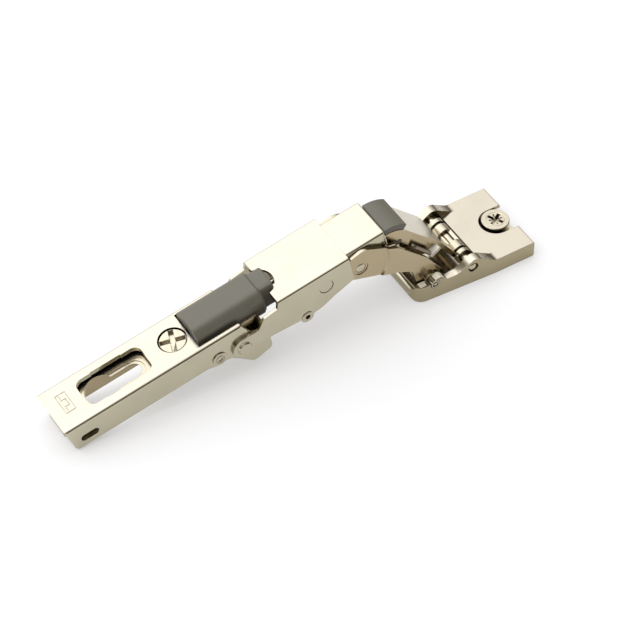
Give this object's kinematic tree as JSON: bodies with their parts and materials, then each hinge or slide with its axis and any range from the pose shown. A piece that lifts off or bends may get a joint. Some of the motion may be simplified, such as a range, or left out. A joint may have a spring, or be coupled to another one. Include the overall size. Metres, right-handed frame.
{
  "type": "linked cabinet hinge with flat door housing",
  "caption": "Soft-closing concealed cabinet hinge: a clip-on rear arm with damper and cover, two curved levers and a flat door housing with a cam screw.",
  "frame": {"origin": "on the door face of the housing, below the outer lever's lower pin, on the centre plane", "axes": "+X along the hinge towards the free end of the door housing, +Y across the hinge, +Z out of the door face"},
  "size_m": [0.1503, 0.0262, 0.0303],
  "materials": {
    "nickel_bright": "bright warm nickel plate on pressed steel",
    "nickel_lever": "nickel plate on pressed steel levers",
    "nickel_cast": "nickel plated housing",
    "steel_pin": "plated steel pins and rivets",
    "steel_spring": "oiled spring wire",
    "grey_plastic": "grey moulded plastic",
    "dark_plastic": "dark moulded plastic"
  },
  "bodies": {
    "leaf": {"rear_arm": "nickel_bright", "inner_base": "nickel_lever", "latch_pin": "steel_pin", "latch_spring": "steel_spring", "cradle": "nickel_lever", "rear_rivet": "steel_pin", "ear_pin": "steel_pin", "damper_body": "grey_plastic", "damper_cap": "dark_plastic", "cover": "nickel_bright", "link_channel": "nickel_bright", "rocker_pin": "steel_pin", "outer_pin": "steel_pin", "inner_rivets": "steel_pin"},
    "side_screw": {"side_screw": "steel_pin"},
    "rear_latch": {"rear_latch": "nickel_lever"},
    "rocker": {"rocker": "nickel_lever", "follower_pin": "steel_pin"},
    "damper_rod": {"damper_rod": "steel_pin"},
    "outer_lever": {"outer_lever": "nickel_lever", "bumper": "grey_plastic", "bumper_studs": "grey_plastic", "spring_bow": "steel_spring", "lever_spring": "steel_spring"},
    "inner_lever": {"inner_lever": "nickel_lever"},
    "door_housing": {"door_housing": "nickel_cast", "outer_foot_pin": "steel_pin", "inner_foot_pin": "steel_pin", "spacer_rings": "steel_pin", "foot_bushes": "dark_plastic", "cam_plate": "nickel_lever"},
    "cam_screw": {"cam_screw": "steel_pin"}
  },
  "joints": [
    {"name": "outer_lever_turn", "type": "hinge", "parent": "leaf", "child": "outer_lever", "pos_m": [-0.02411, 0, 0.01945], "axis": [0, -1, 0], "range_deg": [0, 94.5]},
    {"name": "inner_lever_turn", "type": "hinge", "parent": "leaf", "child": "inner_lever", "pos_m": [-0.03522, 0, 0.02139], "axis": [0, -1, 0], "range_deg": [0, 60]},
    {"name": "housing_turn", "type": "hinge", "parent": "outer_lever", "child": "door_housing", "pos_m": [0, 0, 0.0061], "axis": [0, -1, 0], "range_deg": [0, 7.5]},
    {"name": "cam_screw_turn", "type": "hinge", "parent": "door_housing", "child": "cam_screw", "pos_m": [0.0159, 0, 0.005], "axis": [0, 0, 1], "range_deg": [0, 180]},
    {"name": "side_screw_turn", "type": "hinge", "parent": "leaf", "child": "side_screw", "pos_m": [-0.09007, 0, 0.01263], "axis": [-0.1977, 0, 0.9803], "range_deg": [-450, 450]},
    {"name": "rear_latch_turn", "type": "hinge", "parent": "leaf", "child": "rear_latch", "pos_m": [-0.123, 0, 0.00394], "axis": [0, -1, 0], "range_deg": [0, 20], "stiffness_Nm_per_rad": 0.02, "springref_deg": -11.46},
    {"name": "rocker_turn", "type": "hinge", "parent": "leaf", "child": "rocker", "pos_m": [-0.04678, 0, 0.02105], "axis": [0, -1, 0], "range_deg": [0, 30], "stiffness_Nm_per_rad": 0.01, "springref_deg": -11.46},
    {"name": "damper_rod_slide", "type": "slide", "parent": "leaf", "child": "damper_rod", "axis": [-0.9803, 0, -0.1977], "range_m": [0, 0.0014]}
  ],
  "couplings": [
    {"joint": "inner_lever_turn", "follows": "outer_lever_turn", "ratio": 0.6156},
    {"joint": "housing_turn", "follows": "outer_lever_turn", "ratio": 0.072},
    {"joint": "damper_rod_slide", "follows": "rocker_turn", "m_per_rad": 0.0026}
  ]
}
